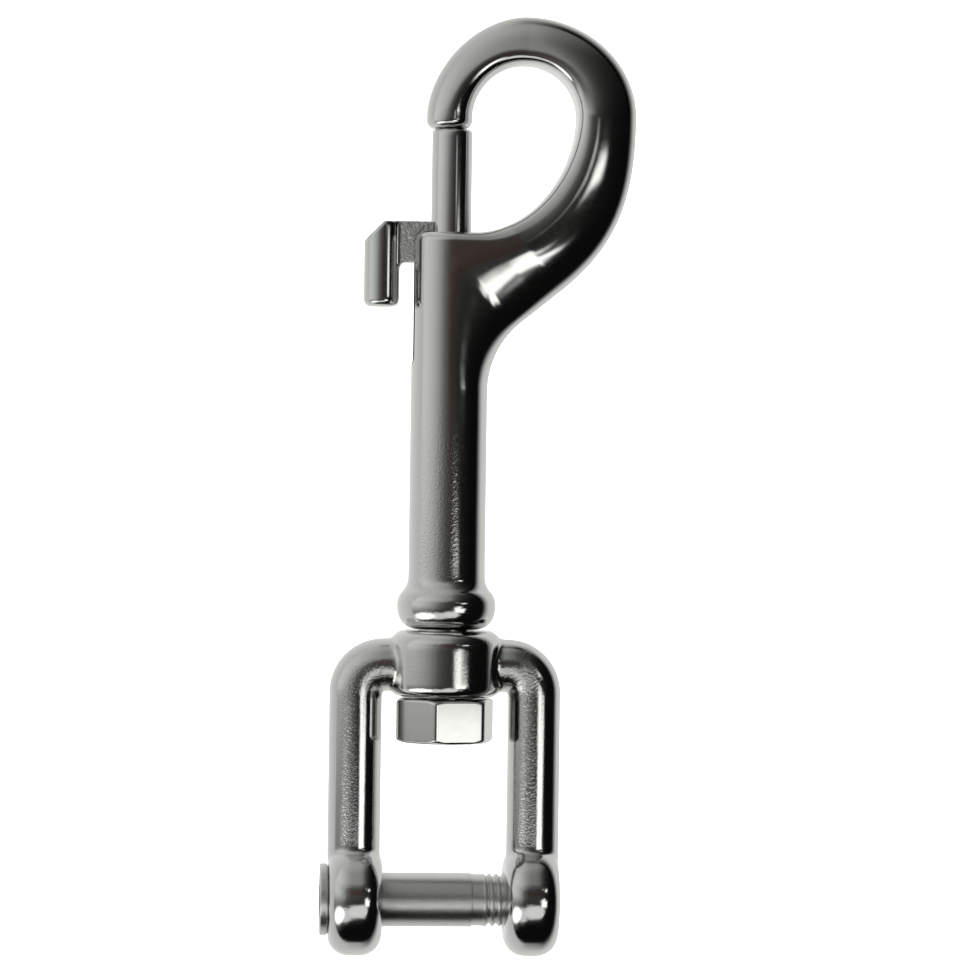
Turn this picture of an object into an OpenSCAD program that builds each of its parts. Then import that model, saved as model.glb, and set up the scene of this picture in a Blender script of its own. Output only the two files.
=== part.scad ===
// Swivel snap hook with a sliding gate and a screw-pin shackle fork.
// The swivel axis is Y, with the hook towards +Y and the fork towards -Y.
// The hook opens to -X, and Z is the thin direction. The origin is the
// middle of the shackle pin, between the two ears of the fork.

/* [Fork] */
// Gap between the two ears, along the pin
jaw_w = 13.6; // [12:0.1:18]
// Thickness of each ear, along the pin
ear_t = 6.1; // [5.9:0.1:8]
// Diameter of each ear's disc
ear_d = 12.5; // [10:0.1:15]
// Radius of the rounded rim of each ear
ear_rim = 2.4; // [0.4:0.05:2.6]
// Diameter of the round bar of the legs and shoulders
leg_d = 5.9; // [5:0.1:6.4]
// Distance from the pin axis to the axis of the crossbar
fork_reach = 26.25; // [22:0.05:40]
// Inside radius of the two bent corners
bend_inner = 0.1; // [0.1:0.1:3]
// How far each leg stands outside the middle of its ear
leg_offset = 0.15; // [0:0.05:0.6]
// Diameter of the hub in the middle of the crossbar
hub_d = 12.5; // [10:0.1:15]
// Height of the hub along the swivel axis
hub_h = 7.4; // [6:0.1:10]
// Height of the hub's middle above the crossbar's axis
hub_lift = 0.2; // [0:0.05:1]
// Radius of the hub's upper edge
hub_top_round = 1.7; // [0.4:0.05:2.2]
// Radius of the hub's lower edge
hub_low_round = 1.2; // [0.4:0.05:1.6]

/* [Shackle pin] */
// Diameter of the pin's plain shank
pin_d = 6; // [5:0.1:7]
// Diameter of the pin's flat head
pin_head_d = 8; // [7.4:0.1:10]
// Thickness of the pin's head
pin_head_t = 0.9; // [0.6:0.05:2]
// Radius of the head's outer edge
pin_head_round = 0.15; // [0.05:0.05:0.3]
// Radius of the head's edge on the side of the ear
pin_head_inner_round = 0.35; // [0.05:0.05:0.4]
// Diameter of the spot face cut in the ear for the pin's head
spot_face_d = 9; // [8.4:0.1:10]
// Depth of the spot face
spot_face_depth = 0.1; // [0.06:0.01:0.3]
// Distance from the jaw's middle to the end of the plain shank
pin_plain_end = 3.2; // [1:0.1:5]
// Length of the turned-down stretch ahead of the thread
pin_relief_len = 1.4; // [0.6:0.1:1.8]
// Depth of the turned-down stretch below the shank
pin_relief = 0.12; // [0.04:0.01:0.4]
// Depth of the thread's crests below the shank
pin_thread_drop = 0.06; // [0.02:0.01:0.2]
// How far the pin's tip stays below the outside of the tapped ear
pin_tip_inset = 0.3; // [0:0.1:1]
// Width across the flats of the hex socket in the pin's head
pin_socket_af = 4; // [3:0.5:4.5]
// Depth of the hex socket
pin_socket_depth = 3; // [1.5:0.1:5]

/* [Swivel] */
// Diameter of the swivel stud
stud_d = 6; // [5:0.1:6.2]
// Length of the stud screwed into the barrel
stud_grip = 7.8; // [5:0.1:10]
// Width across the flats of the swivel nut
nut_af = 10; // [9:0.1:11]
// Height of the swivel nut
nut_h = 5; // [4:0.1:6]
// Width of the nut's bevelled corners, at both of its ends
nut_bevel = 0.45; // [0.1:0.05:0.8]
// Angle of the nut about the swivel axis
nut_turn = 44; // [0:1:60]
// Play along the swivel axis at each end of the hub
end_play = 0.12; // [0.05:0.01:0.5]

/* [Barrel] */
// Diameter of the barrel
barrel_d = 8.6; // [8.4:0.1:10]
// Length from the bead's end to the barrel's open end
barrel_len = 44.2; // [40:0.1:60]
// Diameter of the bead that closes the barrel's lower end
bead_d = 11.05; // [10:0.05:13]
// Height at which the bead starts to curve in towards the barrel
bead_h = 2.7; // [2:0.1:4]
// Radius of both halves of the S-curve between the bead and the barrel
bead_cove = 2.3; // [0.9:0.05:3]
// Radius of the bead's lower edge
bead_low_round = 0.8; // [0.3:0.05:1.6]
// Radius of the corner at the barrel's open end
mouth_round = 1.3; // [0.4:0.1:2]

/* [Hook] */
// Diameter of the nose that the gate closes against
nose_d = 5.1; // [4.8:0.1:6]
// Rounding of the nose's tip
nose_round = 1; // [0.3:0.05:1.2]
// Width of the mouth, from the barrel's open end to the nose
mouth_h = 11.65; // [11.4:0.05:15]
// Length of the nose below the middle of the bow
nose_len = 1.6; // [1.2:0.1:4]
// How far the nose stands outside the barrel's axis
nose_shift = 0.35; // [0:0.05:0.6]
// Inside width of the bow
eye_w = 11.4; // [9:0.1:16]
// Thickness of the bow at its crown, in the hook's plane
crown_t = 5.45; // [4.5:0.05:7]
// Thickness of the bow at its outer side, in the hook's plane
side_t = 6.7; // [5.5:0.05:8]
// Fullness of the outline from the crown to the nose, where 2 is an ellipse
crown_fullness = 1.85; // [1.6:0.05:2.4]
// Distance from the barrel's axis to where the throat starts to rise
throat_x = 2.7; // [0:0.1:3]
// Fullness of the throat's curve, where 2 is an ellipse
throat_fullness = 1.85; // [1.6:0.05:2.4]
// Height of the arm's root above the bead's end
arm_root = 31.4; // [28:0.1:33]
// Slope of the arm's underside
arm_angle = 39; // [36:1:44]
// Radius of the fillet between the arm's underside and the barrel
root_fillet = 10; // [6:0.5:11]
// Straight length of the arm's underside
arm_flat = 5.6; // [3:0.1:7]
// Fullness of the belly between the arm and the bow
belly = 0.73; // [0.5:0.01:0.9]
// Width across the hook at its outer side, along Z
side_w = 6.9; // [5.5:0.1:8.4]
// Width across the hook at its crown, along Z
crown_w = 5.6; // [4.8:0.1:7]

/* [Gate] */
// Diameter of the sliding bolt
gate_d = 4.5; // [4:0.1:4.8]
// Length of the bolt
gate_len = 30; // [26:0.5:32]
// Bevel at the bolt's top edge
gate_bevel = 0.4; // [0.1:0.05:0.8]
// Travel of the bolt
gate_travel = 11; // [6:0.5:11]
// Width of the barrel's slot
slot_w = 3; // [2.6:0.1:4.4]
// Width of the lever's arm, across the slot
arm_w = 2.4; // [2:0.1:2.5]
// Height of the lever's arm, along the slot
arm_h = 4.6; // [3:0.1:5]
// Distance from the bolt's top down to the top of the arm
arm_drop = 10.3; // [9:0.1:11]
// Distance from the bolt's axis to the axis of the thumb piece
thumb_reach = 7.7; // [7.4:0.1:10]
// Diameter of the thumb piece
thumb_d = 4; // [3:0.1:4.6]
// Length of the thumb piece
thumb_len = 9.6; // [7:0.1:12]
// Flat left at the top of the thumb piece, on the side of the arm
thumb_flat = 1.8; // [0.4:0.1:2.2]
// Slope of the cut at the top of the thumb piece
thumb_cut = 45; // [20:1:50]
// Rounding of the thumb piece's lower end
thumb_round = 0.8; // [0.3:0.05:1.2]
// Rounding of the thumb piece's upper edge
thumb_edge = 0.2; // [0.1:0.05:0.6]
// Radius of the fillet between the thumb piece and the arm's underside
arm_fillet = 0.6; // [0.3:0.1:1.2]
// Diameter of the stub that holds the lever in the bolt
stub_d = 2.4; // [1.6:0.1:3]

/* [Spring] */
// Wire diameter of the spring
wire_d = 0.45; // [0.3:0.05:0.5]
// Outside diameter of the spring
spring_d = 4.2; // [3.4:0.1:4.3]
// Turns of the spring
spring_turns = 12; // [6:1:14]

/* [Fits] */
// Radial clearance of the bolt in the barrel's bore
gate_fit = 0.05; // [0.02:0.01:0.1]
// Radial clearance of the stud in the hub's bore
swivel_fit = 0.07; // [0.02:0.01:0.1]
// Radial clearance of the pin in the ears
pin_fit = 0.07; // [0.02:0.01:0.1]
// Radial clearance of pieces that are screwed or pressed home
fixed_fit = 0.01; // [0.005:0.005:0.03]
// Gap between the pin's head and its spot face
head_gap = 0.02; // [0.01:0.01:0.1]
// Gap between the closed bolt and the nose
nose_gap = 0.06; // [0.02:0.01:0.3]
// Gap between the arm and the slot's end when the gate is fully open
stop_gap = 0.15; // [0.1:0.05:0.6]
// Gap at each end of the spring
spring_gap = 0.05; // [0.02:0.01:0.3]

/* [Hidden] */

$fn = 64;
ring_sides = 28;
over = 1;
steel = [0.72, 0.73, 0.72];
cast_steel = [0.66, 0.67, 0.66];
wire_steel = [0.8, 0.81, 0.82];

// Places along the pin
ear_mid = jaw_w / 2 + ear_t / 2;
fork_half = jaw_w / 2 + ear_t;
bend_r = leg_d / 2 + bend_inner;
bend_y = fork_reach - bend_r;
leg_x = ear_mid + leg_offset;
bend_x = leg_x - bend_r;
pin_tip = fork_half - pin_tip_inset;

// Places along the swivel axis
hub_low = fork_reach + hub_lift - hub_h / 2;
hub_top = hub_low + hub_h;
nut_top = hub_low - end_play;
nut_low = nut_top - nut_h;
barrel_low = hub_top + end_play;
barrel_top = barrel_low + barrel_len;
stud_top = barrel_low + stud_grip;
nose_tip = barrel_top + mouth_h;
gate_top = nose_tip - nose_gap;
gate_low = gate_top - gate_len;
arm_top = gate_top - arm_drop;
arm_low = arm_top - arm_h;
slot_mid = arm_low - gate_travel - stop_gap
    + sqrt(slot_w * slot_w - arm_w * arm_w) / 2;
chamber_low = stud_top + fixed_fit;
arm_mid = (arm_low + arm_top) / 2;

// Radii that several pieces share. The hook's skin stays a hair inside the
// barrel's wall, so that the two surfaces never coincide.
skin_step = 0.01;
barrel_r = barrel_d / 2;
skin_r = barrel_r - skin_step;
bead_r = bead_d / 2;
nose_r = nose_d / 2;
eye_r = eye_w / 2;
gate_r = gate_d / 2;
bore_r = gate_r + gate_fit;
shank_r = pin_d / 2;

// Both ends of the lever's stub, measured from the bolt's axis. It starts
// inside the arm and ends inside the bolt.
stub_overlap = 0.5;
stub_root = -gate_r - stub_overlap;
stub_tip = gate_r / 2;

// Centres of the hook's round stretches
bow_x = nose_r + eye_r;
bow_y = nose_tip + nose_len;
eye_side = bow_x + eye_r;
crown_rise = eye_r + crown_t;
outer_r = eye_r + side_t;
outer_side = bow_x + outer_r;
nose_bow_r = bow_x + nose_r;
throat_turn = -70;

// Squareness of the ribs' inner half, from the barrel up to its open end.
// Where it is 2, the rib is an ellipse.
rib_round = 2;
rib_shoulder = 2.6;
rib_mouth = 4.2;
rib_throat = 2.4;

// Heel of the ribs: how far the thickest place of an egg-shaped rib lies
// inwards of its middle, as a share of half its length. The barrel has none.
heel_round = 0;
heel_shoulder = 0.22;
heel_mouth = 0.28;
heel_bow = 0.5;

// Rounding of the flat end's edge towards the front and back, and the share of
// a rib's length that counts as the distance from that edge
mouth_edge = 1.1;
edge_share = 0.75;

// Share of the root's fillet below the corner of the barrel's open end, and
// share of the ribs over the arm that stand on the barrel's flat end
fillet_share = 0.85;
flat_share = 0.6;

// How far the lowest rib stands inside and below the first one
anchor_inset = 0.2;
anchor_drop = 0.6;

// Corner points of the arm's underside
arm_dir = [cos(arm_angle), sin(arm_angle)];
fillet_len = root_fillet * tan((90 - arm_angle) / 2);
root_corner = [skin_r, barrel_low + arm_root];
root_y = root_corner[1] - fillet_len;
fillet_centre = [skin_r + root_fillet, root_y];
arm_start = root_corner + fillet_len * arm_dir;
arm_end = arm_start + arm_flat * arm_dir;
belly_corner = [
    outer_side,
    arm_end[1] + (outer_side - arm_end[0]) * tan(arm_angle)
];
belly_end = [outer_side, bow_y];

// Number of ribs in each stretch of the hook
root_ribs = 12;
corner_ribs = 5;
top_ribs = 7;
belly_ribs = 14;
crown_ribs = 24;
tip_ribs = 4;

function mix(a, b, t) = a + (b - a) * t;

function on_arc(centre, r, angle) = centre + r * [cos(angle), sin(angle)];

function on_curve(p, q, r, s, t) =
    pow(1 - t, 3) * p + 3 * t * pow(1 - t, 2) * q
    + 3 * t * t * (1 - t) * r + pow(t, 3) * s;

function signed_pow(v, e) = sign(v) * pow(abs(v), e);

// A point on an oval with half axes a and b, which is an ellipse at fullness 2
function on_oval(centre, a, b, fullness, angle) = centre + [
    a * signed_pow(cos(angle), 2 / fullness),
    b * signed_pow(sin(angle), 2 / fullness)
];

// The throat is a quarter oval from the barrel's open end up to the bow
function on_throat(angle) = on_oval(
    [throat_x, bow_y], eye_side - throat_x, bow_y - barrel_top,
    throat_fullness, angle
);

// A rib is [inner point, outer point, half width along Z, inner squareness,
// heel, share of the flat form, edge rounding]. In the flat form, a rib is the
// barrel's circle on the left, level behind it, and round only at its outer end.
// The ribs run from the barrel, across the arm and round the bow to the nose.
function root_rib(t) = [
    [-skin_r, mix(root_y, barrel_top - mouth_round, t)],
    on_arc(fillet_centre, root_fillet, 180 - (90 - arm_angle) * t * fillet_share),
    skin_r,
    mix(rib_round, rib_shoulder, t),
    mix(heel_round, heel_shoulder, t),
    1,
    0
];

function corner_rib(t) = [
    on_arc([mouth_round - skin_r, barrel_top - mouth_round], mouth_round, 180 - 90 * t),
    on_arc(fillet_centre, root_fillet, 180 - (90 - arm_angle) * mix(fillet_share, 1, t)),
    skin_r,
    mix(rib_shoulder, rib_mouth, t),
    mix(heel_shoulder, heel_mouth, t),
    1,
    mouth_edge * t
];

function top_inner(t) = t < flat_share
    ? [mix(mouth_round - skin_r, throat_x, t / flat_share), barrel_top]
    : on_throat(mix(-90, throat_turn, (t - flat_share) / (1 - flat_share)));

function top_rib(t) = [
    top_inner(t),
    mix(arm_start, arm_end, t),
    skin_r,
    mix(rib_mouth, rib_throat, t),
    mix(heel_mouth, heel_bow, t),
    1,
    mouth_edge
];

function belly_rib(t) = [
    on_throat(mix(throat_turn, 0, t)),
    on_curve(
        arm_end, mix(arm_end, belly_corner, belly),
        mix(belly_end, belly_corner, belly), belly_end, t
    ),
    mix(skin_r, side_w / 2, t * (2 - t)),
    mix(rib_throat, rib_round, t),
    heel_bow,
    pow(1 - t, 3),
    mouth_edge
];

function crown_width(angle) = angle < 90
    ? mix(side_w, crown_w, angle / 90) / 2
    : mix(crown_w / 2, nose_r, (angle - 90) / 90);

function crown_heel(angle) = angle < 90
    ? heel_bow
    : mix(heel_bow, heel_round, (angle - 90) / 90);

function crown_outer(angle) = angle < 90
    ? on_oval([bow_x, bow_y], outer_r, crown_rise, rib_round, angle)
    : on_oval([bow_x, bow_y], nose_bow_r, crown_rise, crown_fullness, angle);

// Behind the crown, the bow leans out towards the nose
function nose_lean(angle) =
    [-nose_shift * pow(max(angle - 90, 0) / 90, 2), 0];

function crown_rib(t) = [
    on_arc([bow_x, bow_y], eye_r, 180 * t) + nose_lean(180 * t),
    crown_outer(180 * t) + nose_lean(180 * t),
    crown_width(180 * t),
    rib_round,
    crown_heel(180 * t),
    0,
    0
];

function tip_rib(t) =
    let (r = nose_r - nose_round * (1 - cos(90 * t)))
    [
        [r - nose_shift, nose_tip + nose_round * (1 - sin(90 * t))],
        [-r - nose_shift, nose_tip + nose_round * (1 - sin(90 * t))],
        r,
        rib_round,
        heel_round,
        0,
        0
    ];

anchor_r = barrel_r - anchor_inset;
anchor_y = root_y - anchor_drop;
anchor_rib = [
    [-anchor_r, anchor_y], [anchor_r, anchor_y], anchor_r, rib_round, heel_round, 0, 0
];

hook_ribs = concat(
    [anchor_rib],
    [for (i = [0 : root_ribs - 1]) root_rib(i / root_ribs)],
    [for (i = [0 : corner_ribs - 1]) corner_rib(i / corner_ribs)],
    [for (i = [0 : top_ribs - 1]) top_rib(i / top_ribs)],
    [for (i = [0 : belly_ribs - 1]) belly_rib(i / belly_ribs)],
    [for (i = [0 : crown_ribs]) crown_rib(i / crown_ribs)],
    [for (i = [0 : tip_ribs]) tip_rib(i / tip_ribs)]
);

// Height of a rib's flat form, from its level share, its place and its ends
function flat_lift(rib, level, x, from_edge) =
    let (
        outer = level > 0 ? rib[2] * sqrt(1 - level * level) : rib[2],
        round = x < 0 ? sqrt(max(0, skin_r * skin_r - x * x)) : rib[2],
        rest = max(0, rib[6] - from_edge),
        drop = rib[6] - sqrt(max(0, rib[6] * rib[6] - rest * rest))
    )
    max(0, min(outer, round) - drop);

// One ring of points round a rib, an oval or egg whose inner half can be squarer
function rib_ring(rib) =
    let (
        middle = (rib[0] + rib[1]) / 2,
        along = (rib[1] - rib[0]) / 2
    )
    [
        for (i = [0 : ring_sides - 1])
            let (
                turn = 360 * i / ring_sides,
                power = cos(turn) < 0 ? rib_round / rib[3] : 1,
                level = signed_pow(cos(turn), power),
                reach = level - rib[4] * (1 - level * level),
                oval_lift = rib[2] * pow(abs(sin(turn)), power),
                x = middle[0] + along[0] * reach,
                from_edge = (1 + reach) * norm(along) * edge_share
            )
            [
                x,
                middle[1] + along[1] * reach,
                sign(sin(turn)) * mix(oval_lift, flat_lift(rib, level, x, from_edge), rib[5])
            ]
    ];

// A closed skin over a list of rings that have the same number of points
module skin(rings) {
    n = len(rings[0]);
    last = len(rings) - 1;
    points = [for (ring = rings) each ring];
    walls = [
        for (i = [0 : last - 1])
            for (j = [0 : n - 1])
                let (k = (j + 1) % n)
                each [
                    [i * n + j, i * n + k, (i + 1) * n + k],
                    [i * n + j, (i + 1) * n + k, (i + 1) * n + j]
                ]
    ];
    ends = [
        [for (j = [n - 1 : -1 : 0]) j],
        [for (j = [0 : n - 1]) last * n + j]
    ];
    polyhedron(points, concat(walls, ends), convexity = 8);
}

// Half section of a turned piece with rounded lower and upper edges
module turned_profile(r, low, high, low_round, high_round) {
    translate([0, low + low_round])
        square([r, high - low - low_round - high_round]);
    translate([0, low])
        square([r - low_round, high - low]);
    translate([r - low_round, low + low_round])
        circle(low_round);
    translate([r - high_round, high - high_round])
        circle(high_round);
}

// Turns the shapes that stand along Z to stand along Y
module along_y() {
    rotate([-90, 0, 0])
        children();
}

// Turns the shapes that stand along Z to lie along X
module along_x() {
    rotate([0, 90, 0])
        children();
}

module rod_y(d, low, high) {
    translate([0, low, 0])
        along_y()
            cylinder(d = d, h = high - low);
}

// Points along an arc, both ends included
function arc_points(centre, r, from, to, steps = 8) =
    [for (i = [0 : steps]) on_arc(centre, r, mix(from, to, i / steps))];

// Half section of the bead, with its S-curve up to the barrel. The curve
// stops a degree short, so that it doesn't touch the barrel along a line.
module bead_profile() {
    cove_stop = 181;
    bulge = [bead_r - bead_cove, barrel_low + bead_h];
    cove_x = barrel_r + bead_cove;
    sway = acos((cove_x - bulge[0]) / (2 * bead_cove));
    cove = [cove_x, bulge[1] + 2 * bead_cove * sin(sway)];
    low_centre = [bead_r - bead_low_round, barrel_low + bead_low_round];
    polygon(concat(
        [[0, barrel_low]],
        arc_points(low_centre, bead_low_round, -90, 0),
        arc_points(bulge, bead_cove, 0, sway),
        arc_points(cove, bead_cove, 180 + sway, cove_stop),
        [[0, cove[1]]]
    ));
}

module hook_body() {
    color(steel)
        difference() {
            union() {
                rod_y(barrel_d, barrel_low + bead_low_round, root_y);
                along_y()
                    rotate_extrude()
                        bead_profile();
                skin([for (rib = hook_ribs) rib_ring(rib)]);
            }
            // Bore of the sliding bolt and its spring
            rod_y(2 * bore_r, chamber_low - over, barrel_top + over);
            // Tapped seat of the swivel stud
            rod_y(stud_d + 2 * fixed_fit, barrel_low - over, chamber_low);
            // Slot for the lever, open at the barrel's end
            translate([-barrel_r - over, slot_mid, -slot_w / 2])
                cube([barrel_r + over, barrel_top - slot_mid + over, slot_w]);
            translate([-barrel_r - over, slot_mid, 0])
                along_x()
                    cylinder(d = slot_w, h = barrel_r + over);
        }
}

module gate_bolt() {
    color(steel)
        difference() {
            union() {
                rod_y(gate_d, gate_low, gate_top - gate_bevel);
                translate([0, gate_top - gate_bevel, 0])
                    along_y()
                        cylinder(r1 = gate_r, r2 = gate_r - gate_bevel, h = gate_bevel);
            }
            // Cross hole for the lever's stub
            translate([-gate_d, arm_mid, 0])
                along_x()
                    cylinder(d = stub_d, h = gate_d + stub_tip);
        }
}

module thumb_lever() {
    color(cast_steel) {
        difference() {
            union() {
                // Thumb piece
                translate([-thumb_reach, 0, 0])
                    along_y()
                        rotate_extrude()
                            turned_profile(
                                thumb_d / 2, arm_top - thumb_len, arm_top,
                                thumb_round, thumb_edge
                            );
                // Arm through the slot
                translate([-thumb_reach, arm_low, -arm_w / 2])
                    cube([thumb_reach - stub_tip, arm_h, arm_w]);
                // Fillet under the arm
                translate([thumb_d / 2 - thumb_reach, arm_low, -arm_w / 2])
                    linear_extrude(arm_w)
                        difference() {
                            translate([-thumb_d / 4, -arm_fillet])
                                square([thumb_d / 4 + arm_fillet, 2 * arm_fillet]);
                            translate([arm_fillet, -arm_fillet])
                                circle(arm_fillet);
                        }
            }
            // Oblique cut at the top of the thumb piece
            translate([thumb_d / 2 - thumb_flat - thumb_reach, arm_top, 0])
                rotate([0, 0, thumb_cut])
                    translate([-2 * thumb_d, 0, -thumb_d])
                        cube([2 * thumb_d, thumb_d, 2 * thumb_d]);
            // Seat against the bolt
            rod_y(gate_d + 2 * fixed_fit, arm_low - over, arm_top + over);
        }
        // Stub in the bolt's cross hole
        translate([stub_root, arm_mid, 0])
            along_x()
                cylinder(d = stub_d - 2 * fixed_fit, h = stub_tip - end_play - stub_root);
    }
}

// Height of the spring's wire at a share of its length, with closed end turns
function spring_rise(t) =
    let (
        low = chamber_low + spring_gap + wire_d / 2,
        high = gate_low - spring_gap - wire_d / 2,
        turns_done = t * spring_turns,
        closed_pitch = 1.05,
        tail = wire_d * closed_pitch,
        open_turns = spring_turns - 2
    )
    turns_done < 1 ? low + tail * turns_done
    : turns_done > spring_turns - 1 ? high - tail * (spring_turns - turns_done)
    : mix(low + tail, high - tail, (turns_done - 1) / open_turns);

module gate_spring() {
    steps_per_turn = 14;
    steps = spring_turns * steps_per_turn;
    wire_sides = 8;
    coil_r = (spring_d - wire_d) / 2;
    color(wire_steel)
        skin([
            for (i = [0 : steps])
                let (turn = -360 * i / steps_per_turn)
                [
                    for (j = [0 : wire_sides - 1])
                        let (
                            a = 360 * j / wire_sides,
                            r = coil_r + wire_d / 2 * cos(a)
                        )
                        [
                            r * cos(turn),
                            spring_rise(i / steps) + wire_d / 2 * sin(a),
                            -r * sin(turn)
                        ]
                ]
        ]);
}

module swivel_stud() {
    color(steel)
        rod_y(stud_d, nut_low, stud_top);
}

module swivel_nut() {
    nut_r = nut_af / 2 / cos(30);
    color(steel)
        translate([0, nut_low, 0])
            along_y()
                difference() {
                    intersection() {
                        rotate(nut_turn)
                            cylinder(r = nut_r, h = nut_h, $fn = 6);
                        rotate_extrude()
                            polygon([
                                [0, 0], [nut_r - nut_bevel * 2, 0], [nut_r, nut_bevel],
                                [nut_r, nut_h - nut_bevel],
                                [nut_r - nut_bevel * 2, nut_h], [0, nut_h]
                            ]);
                    }
                    translate([0, 0, -over])
                        cylinder(d = stud_d + 2 * fixed_fit, h = nut_h + 2 * over);
                }
}

// One leg with its ear, shoulder and bent corner, on the +X side
module fork_side() {
    translate([leg_x, 0, 0])
        rod_y(leg_d, 0, bend_y);
    translate([bend_x, bend_y, 0])
        rotate_extrude(angle = 90)
            translate([bend_r, 0])
                circle(d = leg_d);
    translate([0, fork_reach, 0])
        along_x()
            cylinder(d = leg_d, h = bend_x);
    along_x()
        rotate_extrude()
            turned_profile(ear_d / 2, jaw_w / 2, fork_half, ear_rim, ear_rim);
}

module fork() {
    color(cast_steel)
        difference() {
            union() {
                fork_side();
                mirror([1, 0, 0])
                    fork_side();
                along_y()
                    rotate_extrude()
                        turned_profile(
                            hub_d / 2, hub_low, hub_top, hub_low_round, hub_top_round
                        );
            }
            // Bore of the swivel
            rod_y(stud_d + 2 * swivel_fit, hub_low - over, hub_top + over);
            // Bore of the pin, through both ears
            translate([-fork_half - over, 0, 0])
                along_x()
                    cylinder(d = pin_d + 2 * pin_fit, h = 2 * (fork_half + over));
            // Spot face under the pin's head
            translate([-fork_half - over, 0, 0])
                along_x()
                    cylinder(d = spot_face_d, h = spot_face_depth + over);
        }
}

module clevis_pin() {
    head_face = -fork_half + spot_face_depth - head_gap;
    head_end = head_face - pin_head_t;
    relief_end = pin_plain_end + pin_relief_len;
    color(steel)
        along_x()
            difference() {
                union() {
                    rotate_extrude()
                        turned_profile(
                            pin_head_d / 2, head_end, head_face,
                            pin_head_round, pin_head_inner_round
                        );
                    translate([0, 0, head_face - pin_head_t / 2])
                        cylinder(r = shank_r, h = pin_plain_end - head_face + pin_head_t / 2);
                    cylinder(r = shank_r - pin_relief, h = pin_tip);
                    translate([0, 0, relief_end])
                        cylinder(r = shank_r - pin_thread_drop, h = pin_tip - relief_end);
                }
                // Hex socket
                translate([0, 0, head_end - over])
                    cylinder(d = pin_socket_af / cos(30), h = pin_socket_depth + over, $fn = 6);
            }
}

hook_body();
gate_bolt();
thumb_lever();
gate_spring();
swivel_stud();
swivel_nut();
fork();
clevis_pin();
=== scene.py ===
# %% [markdown]
# # A swivel snap hook of polished steel
# The hook is a cast and polished body with a spring bolt in its barrel. It
# turns on a fork that is closed by a threaded pin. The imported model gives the
# place and size of everything, so this lesson is about two things: smooth
# surfaces, because polished metal shows each facet, and what they reflect.

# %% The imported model
import math

import bmesh
import bpy
import numpy as np
from mathutils import Matrix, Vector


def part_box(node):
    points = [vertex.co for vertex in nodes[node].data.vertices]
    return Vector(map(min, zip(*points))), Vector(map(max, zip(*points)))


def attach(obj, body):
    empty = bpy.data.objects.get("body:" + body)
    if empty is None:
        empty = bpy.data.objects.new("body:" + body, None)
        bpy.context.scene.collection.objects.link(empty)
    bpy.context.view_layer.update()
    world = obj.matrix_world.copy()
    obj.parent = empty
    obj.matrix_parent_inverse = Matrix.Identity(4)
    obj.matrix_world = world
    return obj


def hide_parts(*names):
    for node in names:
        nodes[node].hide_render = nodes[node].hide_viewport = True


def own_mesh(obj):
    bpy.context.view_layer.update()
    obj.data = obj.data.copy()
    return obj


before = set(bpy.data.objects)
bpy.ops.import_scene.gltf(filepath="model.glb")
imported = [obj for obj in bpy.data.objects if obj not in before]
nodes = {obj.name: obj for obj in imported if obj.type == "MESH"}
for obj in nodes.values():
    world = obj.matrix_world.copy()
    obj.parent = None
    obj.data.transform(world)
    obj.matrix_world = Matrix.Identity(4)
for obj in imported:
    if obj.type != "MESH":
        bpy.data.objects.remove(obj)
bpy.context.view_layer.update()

MM = 0.001
print("Nodes:", ", ".join(sorted(nodes)))


def low(node, axis):
    """The lowest corner of a node along an axis (0, 1 or 2), in millimetres."""
    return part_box(node)[0][axis] / MM


def high(node, axis):
    """The highest corner of a node along an axis (0, 1 or 2), in millimetres."""
    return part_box(node)[1][axis] / MM


# %% [markdown]
# ## The camera
# The photograph was taken from above the flat of the hook, a little to its
# left, so that the slot in the barrel just shows. A long lens 0.4 m away keeps
# the outline nearly square on. The camera is aimed at the middle of the
# picture and rolled by under a degree, because the hook lies slightly askew.

# %% Camera
PICTURE = 970  # pixels across the photograph
PIXEL = 0.112  # millimetres at the object to one pixel
DISTANCE = 400.0  # millimetres from the lens to the aim
ROLL = math.radians(0.76)
SIDEWAYS = math.radians(-4.0)
AIM = np.array([4.17, 46.37, 0.0])

to_camera = np.array([math.sin(SIDEWAYS), 0.0, math.cos(SIDEWAYS)])
upward = np.array([-math.sin(ROLL), math.cos(ROLL), 0.0])
across = np.cross(upward, to_camera)
across /= np.linalg.norm(across)
upward = np.cross(to_camera, across)

lens = bpy.data.cameras.new("camera")
lens.sensor_width = 36.0
lens.lens = lens.sensor_width * DISTANCE / (PICTURE * PIXEL)
lens.clip_start, lens.clip_end = 0.01, 20.0
camera = bpy.data.objects.new("camera", lens)
bpy.context.collection.objects.link(camera)
turn = Matrix([list(row) for row in np.stack([across, upward, to_camera], axis=1)])
camera.matrix_world = Matrix.Translation(list((AIM + DISTANCE * to_camera) * MM)) @ turn.to_4x4()
bpy.context.scene.camera = camera
bpy.context.scene.view_settings.view_transform = "Standard"
print(f"Lens {lens.lens:.0f} mm")

# %% [markdown]
# ## Helpers for surfaces
# Every new piece is a skin over a list of rings. A ring is a closed row of
# points, and neighbouring rings are joined by four-sided faces. Whole arrays
# are computed at once, so a hundred thousand points take no time.


# %% Skins
def new_piece(name, points, faces):
    """A mesh object from points in millimetres and a list of faces."""
    mesh = bpy.data.meshes.new(name)
    mesh.from_pydata((np.asarray(points) * MM).tolist(), [], faces)
    mesh.validate()
    piece = bpy.data.objects.new(name, mesh)
    bpy.context.collection.objects.link(piece)
    return piece


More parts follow.
